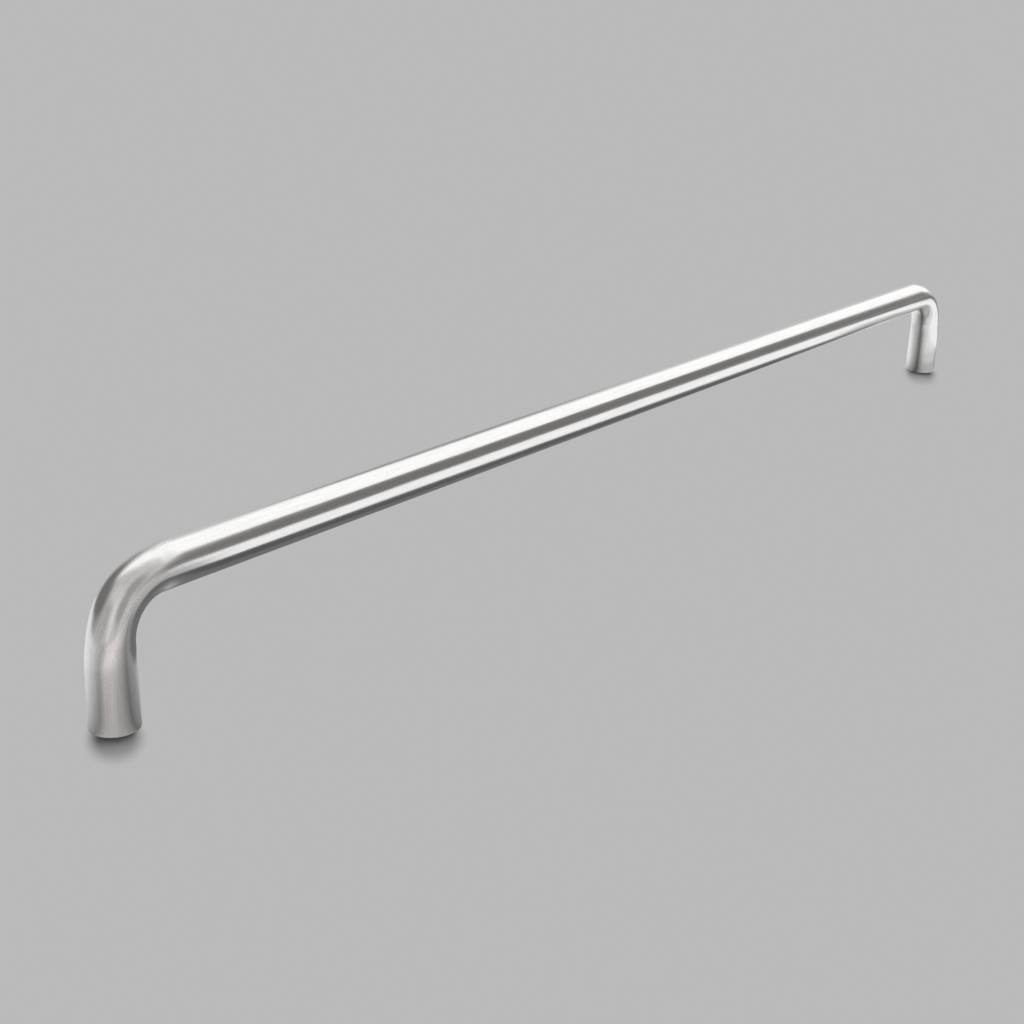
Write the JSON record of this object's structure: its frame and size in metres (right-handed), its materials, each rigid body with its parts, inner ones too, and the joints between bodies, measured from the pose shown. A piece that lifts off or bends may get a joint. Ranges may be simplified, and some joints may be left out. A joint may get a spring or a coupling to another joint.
{
  "type": "cabinet pull",
  "caption": "Bow-shaped cabinet pull bent from solid round bar in satin stainless steel, with short straight legs tapped from below for fixing screws.",
  "frame": {"origin": "half-way between the two fixing holes, on the mounting plane that the feet stand on", "axes": "+X along the bar, +Z away from the door or drawer front, towards the hand"},
  "size_m": [0.3944, 0.0104, 0.035],
  "materials": {
    "satin_steel": "satin brushed, grain along the bar"
  },
  "bodies": {
    "root": {"pull_bar": "satin_steel"}
  },
  "joints": []
}
